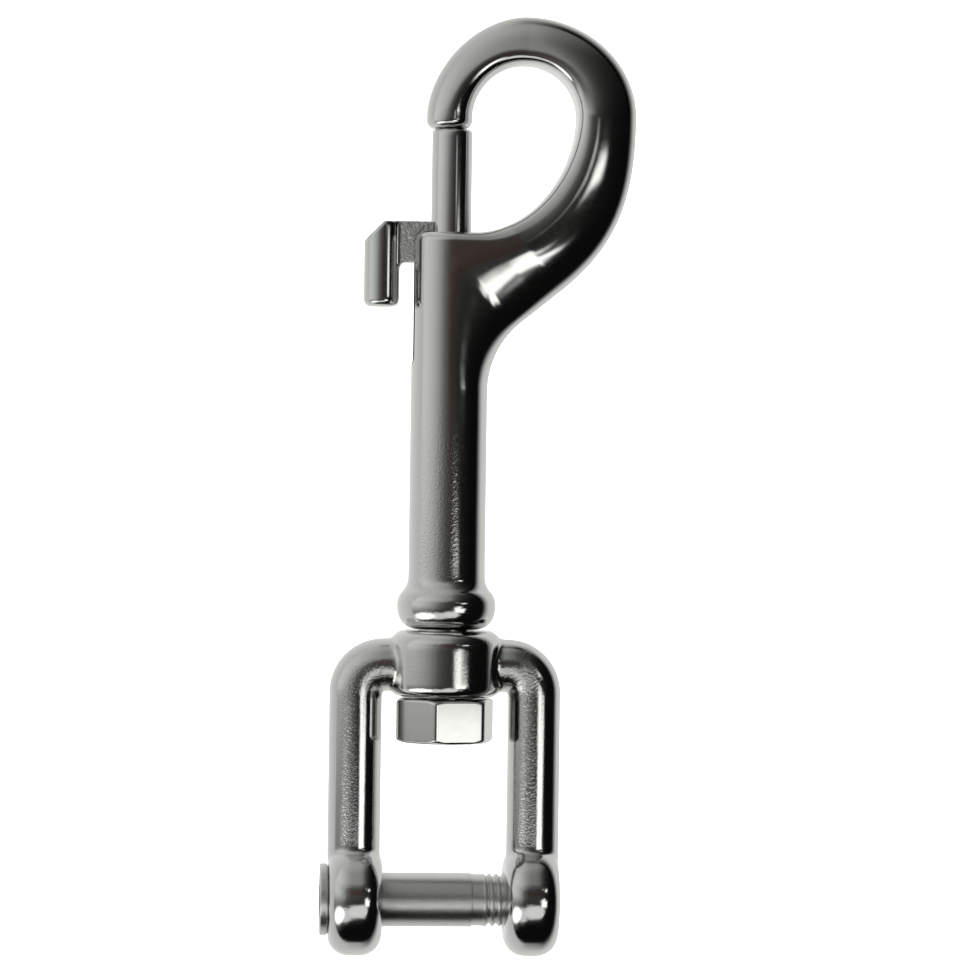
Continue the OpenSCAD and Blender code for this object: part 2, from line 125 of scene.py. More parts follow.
def skin(name, rings, looped=False):
    """A closed skin over an array of rings, of shape (rings, points, 3).

    Point j of ring i is joined to point j + 1 and to ring i + 1, and each end
    is closed by a fan round the mean of its ring. A looped skin has no ends:
    its last ring is joined to its first. If the volume comes out negative,
    the faces are turned round, so that they point outwards."""
    count, sides, _ = rings.shape
    i, j = np.meshgrid(np.arange(count if looped else count - 1), np.arange(sides), indexing="ij")
    k, after = (j + 1) % sides, (i + 1) % count
    quads = np.stack(
        [i * sides + j, i * sides + k, after * sides + k, after * sides + j], axis=-1
    ).reshape(-1, 4)
    points, faces = rings.reshape(-1, 3), [quads]
    a, b, c, d = (points[quads[:, n]] for n in range(4))
    volume = np.einsum("ij,ij->i", a, np.cross(b, c) + np.cross(c, d)).sum()
    if not looped:
        j = np.arange(sides)
        k, top = (j + 1) % sides, (count - 1) * sides
        faces += [
            np.stack([np.full(sides, count * sides), k, j], axis=-1),
            np.stack([np.full(sides, count * sides + 1), top + j, top + k], axis=-1),
        ]
        points = np.concatenate([points, [rings[0].mean(axis=0), rings[-1].mean(axis=0)]])
    if volume < 0:
        faces = [part[:, ::-1] for part in faces]
    return new_piece(name, points, [face for part in faces for face in part.tolist()])


def turned(name, along, radius, axis, sides=128, wobble=None):
    """A turned piece: at each place along the axis, a circle of that radius.

    The axis is 0 for a piece along X and 1 for one along Y. wobble may be a
    function of (place, angle) that gives a change of the radius."""
    angle = np.linspace(0, 2 * math.pi, sides, endpoint=False)
    place, around = np.meshgrid(along, angle, indexing="ij")
    r = np.repeat(np.asarray(radius, float)[:, None], sides, axis=1)
    if wobble is not None:
        r = r + wobble(place, around)
    flat = [r * np.cos(around), r * np.sin(around)]
    parts = [place, flat[0], flat[1]] if axis == 0 else [flat[0], place, -flat[1]]
    return skin(name, np.stack(parts, axis=-1))


def arc(centre, r, start, end, steps):
    """Points on an arc in a plane, from one angle in degrees to another."""
    angle = np.radians(np.linspace(start, end, steps))
    return np.stack([centre[0] + r * np.cos(angle), centre[1] + r * np.sin(angle)], axis=-1)


def finish_mesh(piece, sharp=35.0):
    """Smooth shading, but with sharp edges where faces meet at a larger angle."""
    mesh = piece.data
    mesh.polygons.foreach_set("use_smooth", np.ones(len(mesh.polygons), bool))
    mesh.set_sharp_from_angle(angle=math.radians(sharp))
    mesh.update()
    return piece


def bake(piece):
    """Replaces a piece's mesh by the one that its modifiers make."""
    graph = bpy.context.evaluated_depsgraph_get()
    made = bpy.data.meshes.new_from_object(piece.evaluated_get(graph))
    piece.modifiers.clear()
    piece.data = made
    return piece


def carve(piece, cutters):
    """Cuts the cutters out of a piece, one exact Boolean after another."""
    for cutter in cutters:
        cut = piece.modifiers.new("cut", "BOOLEAN")
        cut.operation, cut.solver, cut.object = "DIFFERENCE", "EXACT", cutter
    bake(piece)
    for cutter in cutters:
        bpy.data.objects.remove(cutter)
    return piece


print("Helpers ready")

# %% [markdown]
# ## The hook's body
# On the real hook, the barrel, arm, bow and nose are one casting. Its form is
# a row of ribs: each rib is an oval between a point on the inner outline and
# one on the outer outline. A subdivision surface over a few blocks could give
# a similar flow, but the ribs keep the exact outline, and the same sizes as
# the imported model. The lower end is turned, so its ribs are plain circles.

# %% Sizes of the hook
barrel_r = 4.3
bead_r, bead_h, bead_cove = 5.525, 2.7, 2.3
barrel_low = low("hook_body", 1)
barrel_len, mouth_h, mouth_round = 44.2, 11.65, 1.3
barrel_top = barrel_low + barrel_len
nose_tip = barrel_top + mouth_h
nose_r, nose_round, nose_len, nose_shift = 2.55, 1.0, 1.6, 0.35
eye_r, crown_t, side_t = 5.7, 5.45, 6.7
crown_fullness, throat_x, throat_fullness = 1.85, 2.7, 1.85
arm_root, arm_angle, root_fillet, arm_flat, belly = 31.4, 39.0, 10.0, 5.6, 0.73
side_w, crown_w = 6.9, 5.6

bow = np.array([nose_r + eye_r, nose_tip + nose_len])
eye_side = bow[0] + eye_r
outer_r = eye_r + side_t
outer_side = bow[0] + outer_r
skin_r = barrel_r - 0.01
slope = math.radians(arm_angle)
arm_dir = np.array([math.cos(slope), math.sin(slope)])
fillet_len = root_fillet * math.tan((math.pi / 2 - slope) / 2)
root_corner = np.array([skin_r, barrel_low + arm_root])
root_y = root_corner[1] - fillet_len
fillet_centre = np.array([skin_r + root_fillet, root_y])
arm_start = root_corner + fillet_len * arm_dir
arm_end = arm_start + arm_flat * arm_dir
belly_corner = np.array([
    outer_side, arm_end[1] + (outer_side - arm_end[0]) * math.tan(slope)
])
belly_end = np.array([outer_side, bow[1]])
print(f"Arm's root at {root_y:.1f} mm, barrel's end at {barrel_top:.1f} mm")

# %% [markdown]
# ### Curves of the outline
# The outline is a draughtsman's: arcs, straight runs and quarter ovals that
# meet without a kink. Each helper gives points on one such curve. A Bezier
# curve could be laid over the photograph by eye instead, but then its sizes
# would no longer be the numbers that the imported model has.


# %% Curves of the outline
def mix(a, b, t):
    """Goes from a at t = 0 to b at t = 1, for numbers or for points."""
    t = np.asarray(t)
    if np.ndim(a) or np.ndim(b):
        t = t[:, None]
    return a + (b - a) * t


def signed_power(v, e):
    """The power of the size of v, with the sign of v kept."""
    return np.sign(v) * np.abs(v) ** e


def oval(centre, a, b, fullness, angle):
    """Points on an oval with half axes a and b: an ellipse at fullness 2."""
    angle = np.radians(angle)
    return np.stack([
        centre[0] + a * signed_power(np.cos(angle), 2 / fullness),
        centre[1] + b * signed_power(np.sin(angle), 2 / fullness),
    ], axis=-1)


def circle(centre, r, angle):
    """Points on a circle, at angles in degrees."""
    return oval(centre, r, r, 2, angle)


def throat(angle):
    """The quarter oval from the barrel's open end up to the bow."""
    return oval(
        (throat_x, bow[1]), eye_side - throat_x, bow[1] - barrel_top, throat_fullness, angle
    )


def swept(p, q, r, s, t):
    """A cubic curve that leaves p towards q and reaches s from r."""
    t = t[:, None]
    return (1 - t)**3 * p + 3 * t * (1 - t)**2 * q + 3 * t * t * (1 - t) * r + t**3 * s


def pairs(x, y):
    """Points from two arrays, or from an array and a number."""
    return np.stack(np.broadcast_arrays(x, y), axis=-1).astype(float)


print("Curves ready")

# %% [markdown]
# ### Ribs of the hook
# From the bead's lower end to the nose's tip there are seven stretches. Each
# gives the inner and outer ends of its ribs, their half width, and four
# numbers for their form, for a row of shares t from 0 to 1. A loft between a
# few drawn sections would be shorter, but it leaves what happens in between to
# the tool, and a polished surface shows every change there.

# %% Bead and barrel
THROAT_TURN = -70.0
FILLET_SHARE = 0.85
FLAT_SHARE = 0.6
SQUARE_ROUND, SQUARE_SHOULDER, SQUARE_MOUTH, SQUARE_THROAT = 2.0, 2.6, 4.2, 2.4
HEEL_SHOULDER, HEEL_MOUTH, HEEL_BOW = 0.22, 0.28, 0.5
MOUTH_EDGE, EDGE_SHARE = 1.1, 0.75
BEAD_FULLNESS = 2.3


def level_ribs(profile):
    """Plain circles round the barrel's axis, from points (radius, height)."""
    r, y = profile[:, 0], profile[:, 1]
    none = np.zeros(len(r))
    return pairs(-r, y), pairs(r, y), r, none + SQUARE_ROUND, none, none, none


def shares(count, closed=False):
    """Even steps from 0 to 1, without the 1 unless closed."""
    return np.linspace(0, 1, count, endpoint=closed)


bulge = np.array([bead_r - bead_cove, barrel_low + bead_h])
cove_x = barrel_r + bead_cove
sway = math.degrees(math.acos((cove_x - bulge[0]) / (2 * bead_cove)))
cove_y = bulge[1] + 2 * bead_cove * math.sin(math.radians(sway))
bead_profile = np.concatenate([
    oval(bulge, bead_cove, bead_h, BEAD_FULLNESS, np.linspace(-90, 0, 40)),
    arc(bulge, bead_cove, 0, sway, 20)[1:],
    arc((cove_x, cove_y), bead_cove, 180 + sway, 180, 20)[1:],
    pairs(skin_r, np.linspace(cove_y, root_y, 30)[1:-1]),
])
print(len(bead_profile), "circles on the bead and the barrel")

# %% Arm and flank
t = shares(64)
root = (
    pairs(-skin_r, mix(root_y, barrel_top - mouth_round, t)),
    circle(fillet_centre, root_fillet, 180 - (90 - arm_angle) * t * FILLET_SHARE),
    np.full(len(t), skin_r),
    mix(SQUARE_ROUND, SQUARE_SHOULDER, t),
    mix(0.0, HEEL_SHOULDER, t),
    np.ones(len(t)),
    np.zeros(len(t)),
)
t = shares(18)
corner = (
    circle((mouth_round - skin_r, barrel_top - mouth_round), mouth_round, 180 - 90 * t),
    circle(fillet_centre, root_fillet, 180 - (90 - arm_angle) * mix(FILLET_SHARE, 1, t)),
    np.full(len(t), skin_r),
    mix(SQUARE_SHOULDER, SQUARE_MOUTH, t),
    mix(HEEL_SHOULDER, HEEL_MOUTH, t),
    np.ones(len(t)),
    MOUTH_EDGE * t,
)
t = shares(36)
over_flat = pairs(mix(mouth_round - skin_r, throat_x, t / FLAT_SHARE), barrel_top)
over_throat = throat(mix(-90, THROAT_TURN, np.clip((t - FLAT_SHARE) / (1 - FLAT_SHARE), 0, 1)))
top = (
    np.where((t < FLAT_SHARE)[:, None], over_flat, over_throat),
    mix(arm_start, arm_end, t),
    np.full(len(t), skin_r),
    mix(SQUARE_MOUTH, SQUARE_THROAT, t),
    mix(HEEL_MOUTH, HEEL_BOW, t),
    np.ones(len(t)),
    np.full(len(t), MOUTH_EDGE),
)
t = shares(64)
flank = (
    throat(mix(THROAT_TURN, 0, t)),
    swept(
        arm_end, mix(arm_end, belly_corner, [belly])[0],
        mix(belly_end, belly_corner, [belly])[0], belly_end, t,
    ),
    mix(skin_r, side_w / 2, t * (2 - t)),
    mix(SQUARE_THROAT, SQUARE_ROUND, t),
    np.full(len(t), HEEL_BOW),
    (1 - t)**3,
    np.full(len(t), MOUTH_EDGE),
)
print(sum(len(stretch[0]) for stretch in (root, corner, top, flank)), "ribs up to the bow's side")

# %% Crown and nose
t = shares(120)
angle = 180 * t
lean = pairs(-nose_shift * (np.maximum(angle - 90, 0) / 90)**2, 0)
crown_rise = eye_r + crown_t
crown = (
    circle(bow, eye_r, angle) + lean,
    np.where(
        (angle < 90)[:, None],
        oval(bow, outer_r, crown_rise, 2, angle),
        oval(bow, bow[0] + nose_r, crown_rise, crown_fullness, angle),
    ) + lean,
    np.interp(angle, [0, 90, 180], [side_w / 2, crown_w / 2, nose_r]),
    np.full(len(t), SQUARE_ROUND),
    np.interp(angle, [0, 90, 180], [HEEL_BOW, HEEL_BOW, 0.0]),
    np.zeros(len(t)),
    np.zeros(len(t)),
)
t = shares(20, closed=True)
tip_r = nose_r - nose_round * (1 - np.cos(math.pi / 2 * t))
tip_y = nose_tip + nose_round * (1 - np.sin(math.pi / 2 * t))
tip = (
    pairs(tip_r - nose_shift, tip_y), pairs(-tip_r - nose_shift, tip_y),
    tip_r, np.full(len(t), SQUARE_ROUND), np.zeros(len(t)), np.zeros(len(t)), np.zeros(len(t)),
)
stretches = [level_ribs(bead_profile), root, corner, top, flank, crown, tip]
inner, outer, half_width, square, heel, flat, edge = (
    np.concatenate(parts) for parts in zip(*stretches)
)
print(len(inner), "ribs")

# %% [markdown]
# ### The skin over the ribs
# A real section of this casting is not an ellipse. Round the bow it is shaped
# like an egg, thickest near the inner edge, and at the barrel's mouth it is
# flat. Both forms bend the same ring of points, so that one can flow into the
# other with no seam.


# %% Skin of the hook
def rib_rings(inner, outer, half_width, square, heel, flat, edge, sides=144):
    """One ring of points round each rib.

    A ring's point is the rib's middle, plus half the rib times the cosine of
    an angle, with the half width times its sine along Z. On the inner half
    both are raised to the power 2 / squareness, which makes it squarer. The
    heel moves the thickest place inwards, by that share of half the rib times
    (1 - the cosine squared), so that the section is shaped like an egg.

    In the flat form, a rib is the barrel's circle left of the barrel's axis,
    level right of it, and an ellipse on its outer half. Its inner end is
    rounded by the edge. The flat share says how much of that form is taken."""
    angle = np.linspace(0, 2 * math.pi, sides, endpoint=False)[None]
    power = np.where(np.cos(angle) < 0, 2 / square[:, None], 1.0)
    level = signed_power(np.cos(angle), power)
    reach = level - heel[:, None] * (1 - level**2)
    middle, along = (inner + outer) / 2, (outer - inner) / 2
    x = middle[:, :1] + along[:, :1] * reach
    width, edge = half_width[:, None], edge[:, None]
    oval_lift = width * np.abs(np.sin(angle)) ** power
    outer_lift = np.where(level > 0, width * np.sqrt(np.clip(1 - level**2, 0, 1)), width)
    round_lift = np.where(x < 0, np.sqrt(np.clip(skin_r**2 - x**2, 0, None)), width)
    from_edge = (1 + reach) * np.linalg.norm(along, axis=1)[:, None] * EDGE_SHARE
    rest = np.clip(edge - from_edge, 0, None)
    drop = edge - np.sqrt(np.clip(edge**2 - rest**2, 0, None))
    flat_lift = np.clip(np.minimum(outer_lift, round_lift) - drop, 0, None)
    lift = oval_lift + (flat_lift - oval_lift) * flat[:, None]
    side = np.where(np.abs(np.sin(angle)) < 1e-9, 0, np.sign(np.sin(angle)))
    return np.stack([x, middle[:, 1:] + along[:, 1:] * reach, side * lift], axis=-1)


hook = skin("hook_casting", rib_rings(inner, outer, half_width, square, heel, flat, edge))
print(len(hook.data.vertices), "points in the hook's skin")

# %% [markdown]
# ## Bore, seat and slot
# The real casting is drilled from its open end for the bolt, tapped from below
# for the stud, and milled open on the left for the lever. The same three cuts
# are made here with exact Booleans on the finished skin, and a fine grid keeps
# the shading clean right up to their edges.

# %% Cuts in the hook
OVER = 1.0  # how far a cutter stands out past what it cuts
bore_r, seat_r, slot_w = 2.3, 3.01, 3.0
chamber_low = high("swivel_stud", 1) + 0.01
slot_mid = 60.91  # height of the centre of the slot's round end


def rod(name, axis, r, start, end, sides=96):
    """A plain cylinder along an axis, to cut with."""
    return turned(name, np.array([start, end]), [r, r], axis, sides)


def slot_cutter():
    """A slot's outline, a straight run with a half round end, carried along X."""
    low_end = arc((slot_mid, 0), slot_w / 2, 270, 90, 33)
    past = barrel_top + OVER
    outline = np.concatenate([low_end, [[past, slot_w / 2], [past, -slot_w / 2]]])
    depth = np.array([-barrel_r - OVER, 0.0])
    rings = np.stack([
        np.repeat(depth[:, None], len(outline), axis=1),
        np.tile(outline[:, 0], (2, 1)), np.tile(outline[:, 1], (2, 1)),
    ], axis=-1)
    return skin("slot", rings)


carve(hook, [
    rod("bore", 1, bore_r, chamber_low - OVER, barrel_top + OVER),
    rod("seat", 1, seat_r, barrel_low - OVER, chamber_low),
    slot_cutter(),
])
finish_mesh(hook, 32)
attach(hook, "hook")
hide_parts("hook_body")
print(len(hook.data.polygons), "faces after the cuts")

# %% [markdown]
# ## Fork and lever
# These two are castings too: a bar bent twice into a fork, with a hub and two
# round ears, and a small arm with a thumb piece. A casting has no sharp inner
# corner, so wherever two forms meet there is a small fillet. The quick way to
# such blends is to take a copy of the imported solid, cover it with an even
# voxel skin, and relax that skin by smoothing it. Its bores stay where they
# are, because smoothing moves only what is sharply curved.


# %% Softened castings
def softened(name, node, voxel, rounds):
    """A copy of a node's mesh, merged, covered by an even skin and relaxed.

    The work is done in millimetres, because the voxels are very small."""
    mesh = nodes[node].data.copy()
    mesh.name = name
    shape = bmesh.new()
    shape.from_mesh(mesh)
    bmesh.ops.scale(shape, vec=(1 / MM,) * 3, verts=shape.verts)
    bmesh.ops.remove_doubles(shape, verts=shape.verts, dist=1e-4)
    shape.to_mesh(mesh)
    shape.free()
    piece = bpy.data.objects.new(name, mesh)
    bpy.context.collection.objects.link(piece)
    cover = piece.modifiers.new("cover", "REMESH")
    cover.mode, cover.voxel_size = "VOXEL", voxel
    relax = piece.modifiers.new("relax", "SMOOTH")
    relax.factor, relax.iterations = 0.5, rounds
    bake(piece)
    piece.data.transform(Matrix.Scale(MM, 4))
    piece.data.materials.clear()
    return finish_mesh(piece, 180)


fork = softened("fork_casting", "fork", voxel=0.18, rounds=16)
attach(fork, "shackle_fork")
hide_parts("fork")
lever = softened("lever_casting", "thumb_lever", voxel=0.08, rounds=60)
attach(lever, "gate")
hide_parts("thumb_lever")
print(len(fork.data.polygons), "faces in the fork,", len(lever.data.polygons), "in the lever")

# %% [markdown]
# ## Bolt
# The sliding bolt is turned from bar, with its tip rounded so that it finds its
# place under the nose. A primitive cylinder with a Bevel would do, but a
# profile turned round the axis gives the rings just where they are needed.

# %% Bolt
gate_low, gate_top, gate_r = low("gate_bolt", 1), high("gate_bolt", 1), 2.25
gate_round, gate_bevel = 0.4, 0.1
fan_r = 0.4  # radius of the small ring whose fan closes each end
bolt_profile = np.concatenate([
    [[fan_r, gate_low], [gate_r - gate_bevel, gate_low], [gate_r, gate_low + gate_bevel]],
    pairs(gate_r, np.linspace(gate_low + 2 * gate_bevel, gate_top - gate_round, 60)),
    arc((gate_r - gate_round, gate_top - gate_round), gate_round, 0, 90, 12)[1:],
    [[fan_r, gate_top]],
])
bolt = turned("sliding_bolt", bolt_profile[:, 1], bolt_profile[:, 0], 1)
finish_mesh(bolt, 50)
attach(bolt, "gate")
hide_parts("gate_bolt")
print(f"Bolt from {gate_low:.1f} to {gate_top:.1f} mm")

# %% [markdown]
# ## Stud
# The stud is a screw: its thread holds the nut below and the barrel above, and
# the fork turns on the plain length between. A Screw modifier could sweep the
# ridge, but then it would be a second surface in the shank. Here the thread is
# a change of the radius, so the stud stays one closed skin.


# %% Stud
def thread(place, around, pitch, depth):
    """A V-shaped ridge that climbs by one pitch in a turn.

    The change of the radius is minus the depth times a rounded triangle wave
    of (place / pitch - angle / full turn). The wave is stretched past its ends
    and clipped, which leaves a narrow flat on the crest."""
    phase = place / pitch - around / (2 * math.pi)
    wave = np.abs(2 * (phase - np.floor(phase)) - 1)
    return -depth * (0.5 - 0.5 * np.cos(math.pi * np.clip(1.35 * wave - 0.15, 0, 1)))


stud_low, stud_top, stud_r = low("swivel_stud", 1), high("swivel_stud", 1), 3.0
stud_bevel, stud_pitch, stud_depth = 0.5, 1.0, 0.35
place = np.linspace(stud_low, stud_top, 400)
stud_radius = stud_r - np.clip(stud_bevel - (place - stud_low), 0, stud_bevel)


def stud_thread(place, around):
    """The thread runs from just above the stud's end to the nut's top."""
    threaded = (place > stud_low + 0.02) & (place < high("swivel_nut", 1))
    return np.where(threaded, thread(place, around, stud_pitch, stud_depth), 0)


stud = turned("swivel_stud_screw", place, stud_radius, 1, wobble=stud_thread)
finish_mesh(stud, 60)
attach(stud, "hook")
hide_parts("swivel_stud")
print(f"Stud {stud_top - stud_low:.1f} mm long")

# %% [markdown]
# ## Nut
# The nut is a hexagon whose corners are turned off at both ends, with its
# edges rounded by tumbling. A six-sided cylinder cut by two cones would give
# the same form with knife edges. Instead, the radius at each angle and height
# is the smaller of the flat's distance and the cone, blended softly where they
# meet, so each edge catches a thin line of light.


# %% Nut
def soft_least(a, b, width):
    """The smaller of a and b, rounded off where they are within the width."""
    h = np.clip(0.5 + 0.5 * (b - a) / width, 0, 1)
    return b + (a - b) * h - width * h * (1 - h)


nut_low, nut_top = low("swivel_nut", 1), high("swivel_nut", 1)
nut_flat, nut_turn, nut_hole = 5.0, math.radians(44), 3.01
corner_off, corner_soft = 0.05, 0.12
cone_start, cone_slope, cone_soft = 0.12, 1.6, 0.25
nut_edge, nut_len, sides = 0.32, nut_top - nut_low, 240
angle = np.linspace(0, 2 * math.pi, sides, endpoint=False)
from_flat = (angle - nut_turn) % (math.pi / 3) - math.pi / 6
hexagon = nut_flat / np.cos(from_flat)
corners_at = nut_flat / math.cos(math.pi / 6) - corner_off
hexagon = soft_least(hexagon, np.full(sides, corners_at), corner_soft)
rounding = nut_edge * (1 - np.cos(np.linspace(0, math.pi / 2, 9)))
rise = np.concatenate([
    rounding, np.linspace(nut_edge, nut_len - nut_edge, 40)[1:-1], nut_len - rounding[::-1]
])
from_end = np.minimum(rise, rise[::-1])
share = 1 - np.clip(from_end / nut_edge, 0, 1)
rim = nut_edge * (1 - np.sqrt(np.clip(1 - share**2, 0, 1)))
cone = nut_flat + cone_start + cone_slope * from_end
outline = soft_least(hexagon[None], cone[:, None], cone_soft) - rim[:, None]
hole = np.full((1, sides), nut_hole)
radius = np.concatenate([hole, outline, hole])
height = nut_low + np.concatenate([[0], rise, [nut_len]])
rings = np.stack([
    radius * np.cos(angle), np.repeat(height[:, None], sides, axis=1), radius * np.sin(angle)
], axis=-1)
nut = skin("swivel_nut_hexagon", rings, looped=True)
finish_mesh(nut, 60)
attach(nut, "hook")
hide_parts("swivel_nut")
print(f"Nut {nut_len:.1f} mm high")

# %% [markdown]
# ## Shackle pin
# The pin is turned: a thin head with a hex socket, a plain shank, a short
# stretch turned down to let the thread run out, and a rolled thread. A bump
# could stand in for the thread, but the camera sees its edge against the
# white table, so it is a real ridge. The socket is cut with a six-sided rod.

# %% Pin
pin_head_face, pin_tip = low("clevis_pin", 0), high("clevis_pin", 0)
pin_r, head_r, head_t = 3.0, 4.0, 0.9
plain_end, relief_end, relief, crest = 3.2, 4.6, 0.12, 0.06
front_edge, back_edge, shank_edge, tip_bevel = 0.15, 0.35, 0.08, 0.6
pin_pitch, pin_depth, fade_len = 0.8, 0.3, 0.3
socket_flat, socket_depth = 2.0, 3.0
fan_r = 0.5
shank_start = pin_head_face + head_t
pin_profile = np.concatenate([
    [[fan_r, pin_head_face]],
    arc((head_r - front_edge, pin_head_face + front_edge), front_edge, -90, 0, 8),
    arc((head_r - back_edge, shank_start - back_edge), back_edge, 0, 90, 10),
    [[pin_r + 0.02, shank_start]],
    pairs(pin_r, np.linspace(shank_start + 0.05, plain_end - shank_edge, 60)),
    arc((pin_r - shank_edge, plain_end - shank_edge), shank_edge, 0, 90, 6),
    pairs(pin_r - relief, np.linspace(plain_end, relief_end - 0.1, 12)),
    pairs(pin_r - crest, np.linspace(relief_end, pin_tip - tip_bevel, 240)),
    [[pin_r - crest - tip_bevel, pin_tip], [fan_r, pin_tip]],
])


def pin_thread(place, around):
    """The thread's ridges, which fade in where the turned-down stretch ends."""
    fade_in = np.clip((place - relief_end) / fade_len, 0, 1)
    fade_out = np.clip((pin_tip - fade_len - place) / fade_len, 0, 1)
    return fade_in * fade_out * thread(place, around, pin_pitch, pin_depth)


pin = turned("shackle_screw_pin", pin_profile[:, 1], pin_profile[:, 0], 0, wobble=pin_thread)
socket = rod(
    "socket", 0, socket_flat / math.cos(math.pi / 6),
    pin_head_face - OVER, pin_head_face + socket_depth, 6,
)
carve(pin, [socket])
finish_mesh(pin, 40)
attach(pin, "shackle_pin")
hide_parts("clevis_pin")
print(f"Pin {pin_tip - pin_head_face:.1f} mm long")

# %% [markdown]
# ## Gate spring
# A compression spring closes the bolt. It is a round wire carried along a
# helix whose end turns are closed.

# %% Spring
wire_r, coil_r, coil_turns, spring_gap = 0.225, 1.875, 12, 0.05
steps_a_turn, wire_sides = 48, 20
spring_low = chamber_low + spring_gap + wire_r
spring_high = gate_low - spring_gap - wire_r
turns = np.linspace(0, coil_turns, steps_a_turn * coil_turns + 1)
closed = 2 * wire_r * 1.05  # an end turn climbs by a little more than the wire
rise = np.interp(
    turns, [0, 1, coil_turns - 1, coil_turns],
    [spring_low, spring_low + closed, spring_high - closed, spring_high],
)
around = np.linspace(0, 2 * math.pi, wire_sides, endpoint=False)[None]
reach = coil_r + wire_r * np.cos(around)
wind = -2 * math.pi * turns[:, None]
spring = skin("gate_coil_spring", np.stack([
    reach * np.cos(wind), rise[:, None] + wire_r * np.sin(around), -reach * np.sin(wind)
], axis=-1))
finish_mesh(spring, 60)
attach(spring, "hook")
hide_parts("gate_spring")
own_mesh(spring)

# %% [markdown]
# ## Finishes
# All of the steel is polished, so its colour matters little and its small
# unevenness matters much. A casting keeps a fine grain where the wheel didn't
# reach, and a turned piece has fine rings. Both are bumps on Object
# coordinates in millimetres, because an image texture would need a UV map and
# would stretch round the bow. They are built once as node groups, and each
# metal sets its own strength.


# %% Helpers for nodes
def add(tree, kind, at, **settings):
    """A new node at a place in the tree, with its settings."""
    made = tree.nodes.new(kind)
    made.location = at
    for name, value in settings.items():
        setattr(made, name, value)
    return made


def maths(tree, operation, a, b=None, c=None):
    """A Math node whose inputs are numbers or other nodes' sockets."""
    made = add(tree, "ShaderNodeMath", (0, 0), operation=operation)
    for socket, value in zip(made.inputs, (a, b, c)):
        if value is None:
            continue
        if isinstance(value, (int, float)):
            socket.default_value = value
        else:
            tree.links.new(value, socket)
    return made.outputs[0]


def ramp(tree, value, start, end, low_value=0.0, high_value=1.0):
    """A smooth step: low_value up to start, high_value from end on."""
    made = add(tree, "ShaderNodeMapRange", (0, 0), interpolation_type="SMOOTHSTEP")
    tree.links.new(value, made.inputs["Value"])
    names = ("From Min", "From Max", "To Min", "To Max")
    for name, number in zip(names, (start, end, low_value, high_value)):
        made.inputs[name].default_value = number
    return made.outputs[0]


def window(tree, value, start, end, soft):
    """1 between start and end, falling smoothly to 0 outside them."""
    rise = ramp(tree, value, start - soft, start + soft)
    fall = ramp(tree, value, end + soft, end - soft)
    return maths(tree, "MULTIPLY", rise, fall)


def group_tree(name, inputs, outputs):
    """An empty node group with number inputs (name, default) and outputs."""
    tree = bpy.data.node_groups.new(name, "ShaderNodeTree")
    for label, value in inputs:
        socket = tree.interface.new_socket(label, in_out="INPUT", socket_type="NodeSocketFloat")
        socket.default_value = value
    for label in outputs:
        tree.interface.new_socket(label, in_out="OUTPUT", socket_type="NodeSocketFloat")
    return tree, add(tree, "NodeGroupInput", (-800, 0)), add(tree, "NodeGroupOutput", (800, 0))


def in_millimetres(tree):
    """The Object coordinates, scaled so that one unit is a millimetre."""
    place = add(tree, "ShaderNodeTexCoord", (-1000, 0))
    scaled = add(tree, "ShaderNodeVectorMath", (-800, 200), operation="SCALE")
    scaled.inputs["Scale"].default_value = 1 / MM
    tree.links.new(place.outputs["Object"], scaled.inputs[0])
    return scaled.outputs[0]


print("Node helpers ready")

# %% [markdown]
# ### Orange peel
# A tumbled casting is covered by low bumps about a quarter of a millimetre
# across, like the peel of an orange, on a surface that also swells and dips a
# little over several millimetres. A few deeper pits are only a mask, with no
# depth: the metals paint shade into them by darkening their colour. Two noises
# and a masked third make all three. Displacement would do it with real points,
# but at this size it would take millions of them.

# %% Orange peel
BROAD_SCALE = 0.28  # swells to a millimetre
# Where the pits are: the metals paint shade into them
PIT_SCALE, PIT_START, PIT_END = 1.7, 0.17, 0.26
peel_tree, peel_in, peel_out = group_tree(
    "orange_peel", [("Size", 0.5), ("Waviness", 1.0), ("Peel", 1.0)], ["Height", "Pit_shade"]
)
where = in_millimetres(peel_tree)


def noise(tree, vector, scale, detail=2.0, roughness=0.5):
    """A Noise node's value, about -0.5 to 0.5."""
    made = add(tree, "ShaderNodeTexNoise", (-400, 0))
    tree.links.new(vector, made.inputs["Vector"])
    if isinstance(scale, (int, float)):
        made.inputs["Scale"].default_value = scale
    else:
        tree.links.new(scale, made.inputs["Scale"])
    made.inputs["Detail"].default_value = detail
    made.inputs["Roughness"].default_value = roughness
    return maths(tree, "SUBTRACT", made.outputs[0], 0.5)


per_size = maths(peel_tree, "DIVIDE", 1.0, peel_in.outputs["Size"])
fine = noise(peel_tree, where, per_size, 2.5, 0.6)
broad = noise(peel_tree, where, BROAD_SCALE, 1.0, 0.4)
pit = noise(peel_tree, where, maths(peel_tree, "MULTIPLY", per_size, PIT_SCALE), 0.0)
pit_shade_mask = ramp(peel_tree, pit, PIT_START, PIT_END)
height = maths(
    peel_tree, "ADD",
    maths(peel_tree, "MULTIPLY", fine, peel_in.outputs["Peel"]),
    maths(peel_tree, "MULTIPLY", broad, peel_in.outputs["Waviness"]),
)
peel_tree.links.new(height, peel_out.inputs["Height"])
peel_tree.links.new(pit_shade_mask, peel_out.inputs["Pit_shade"])
print("Orange peel ready")

# %% [markdown]
# ### Turning marks
# A lathe leaves rings round its axis, a few hundredths of a millimetre apart.
# A one-dimensional noise along the axis gives rings of uneven depth, which a
# Wave texture would make too regular.

